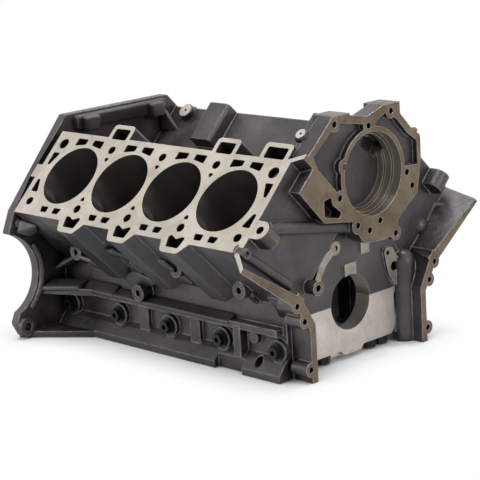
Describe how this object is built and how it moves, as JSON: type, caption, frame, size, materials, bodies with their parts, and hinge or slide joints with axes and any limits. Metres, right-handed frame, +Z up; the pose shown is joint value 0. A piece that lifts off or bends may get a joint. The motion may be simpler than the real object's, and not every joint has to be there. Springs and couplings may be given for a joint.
{
  "type": "engine block",
  "caption": "Bare cast cylinder block of a vee engine with deep skirt, open decks and cross-bolted main bearing caps.",
  "frame": {"origin": "crankshaft axis at the centre of the third main bearing", "axes": "+X towards the front of the engine, +Z up"},
  "size_m": [0.4935, 0.4412, 0.3225],
  "materials": {
    "cast_iron_block": "rough sand-cast iron with a dark grey coat, machined faces bare",
    "cap_iron": "machined iron, brushed",
    "bolt_steel": "black oxide steel",
    "dowel_steel": "ground steel"
  },
  "bodies": {
    "root": {"cylinder_block": "cast_iron_block", "inner_main_bolts": "bolt_steel", "outer_main_bolts": "bolt_steel", "side_bolts": "bolt_steel", "rear_dowel_right": "dowel_steel", "rear_dowel_left": "dowel_steel", "main_cap_1": "cap_iron", "main_cap_2": "cap_iron", "main_cap_3": "cap_iron", "main_cap_4": "cap_iron", "main_cap_5": "cap_iron"}
  },
  "joints": []
}
